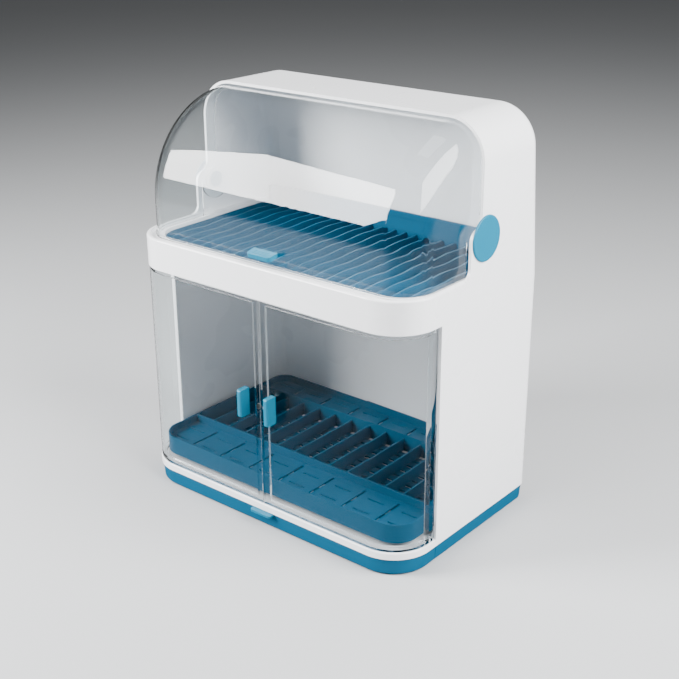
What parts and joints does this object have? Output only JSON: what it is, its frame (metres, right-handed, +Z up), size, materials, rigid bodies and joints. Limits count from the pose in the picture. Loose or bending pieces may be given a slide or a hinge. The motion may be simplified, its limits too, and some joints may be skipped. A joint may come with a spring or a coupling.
{
  "type": "covered dish drying rack",
  "caption": "Two-storey covered dish rack: hood with a clear swing-back lid above, clear double doors below, a lift-out rack in each storey and a drip drawer in the base.",
  "frame": {"origin": "centre of the overall box, on the floor the feet stand on", "axes": "+X to the right seen from the front, +Y to the back, +Z up"},
  "size_m": [0.38, 0.25, 0.45],
  "materials": {
    "white_plastic": "glossy moulded",
    "blue_plastic": "satin moulded",
    "light_blue_plastic": "glossy moulded",
    "clear_plastic": "clear polished",
    "steel": "ground",
    "magnet": "nickel plated",
    "rubber": "matt"
  },
  "bodies": {
    "cabinet": {"feet": "rubber", "rear_base": "blue_plastic", "lower_housing": "white_plastic", "upper_housing": "white_plastic", "right_door_lower_pin": "steel", "left_door_lower_pin": "steel", "right_door_upper_pin": "steel", "left_door_upper_pin": "steel", "right_pivot_cap": "light_blue_plastic", "left_pivot_cap": "light_blue_plastic"},
    "drawer": {"drip_drawer": "blue_plastic", "drawer_pull": "light_blue_plastic"},
    "lid": {"lid": "clear_plastic", "lid_handle": "light_blue_plastic"},
    "upper_rack": {"upper_rack": "blue_plastic"},
    "lower_rack": {"lower_rack": "blue_plastic"},
    "right_door": {"right_door": "clear_plastic", "right_door_handle": "light_blue_plastic", "right_door_magnet": "magnet"},
    "left_door": {"left_door": "clear_plastic", "left_door_handle": "light_blue_plastic", "left_door_magnet": "magnet"}
  },
  "joints": [
    {"name": "lid_swing", "type": "hinge", "parent": "cabinet", "child": "lid", "pos_m": [0, 0.0153, 0.3335], "axis": [-1, 0, 0], "range_deg": [0, 45]},
    {"name": "right_door_swing", "type": "hinge", "parent": "cabinet", "child": "right_door", "pos_m": [0.1822, -0.061, 0.147], "axis": [0, 0, 1], "range_deg": [0, 90]},
    {"name": "left_door_swing", "type": "hinge", "parent": "cabinet", "child": "left_door", "pos_m": [-0.1822, -0.061, 0.147], "axis": [0, 0, -1], "range_deg": [0, 90]},
    {"name": "drawer_slide", "type": "slide", "parent": "cabinet", "child": "drawer", "axis": [0, -1, 0], "range_m": [0, 0.15]},
    {"name": "upper_rack_lift", "type": "slide", "parent": "cabinet", "child": "upper_rack", "axis": [0, 0, 1], "range_m": [0, 0.035]},
    {"name": "lower_rack_lift", "type": "slide", "parent": "cabinet", "child": "lower_rack", "axis": [0, 0, 1], "range_m": [0, 0.06]}
  ]
}
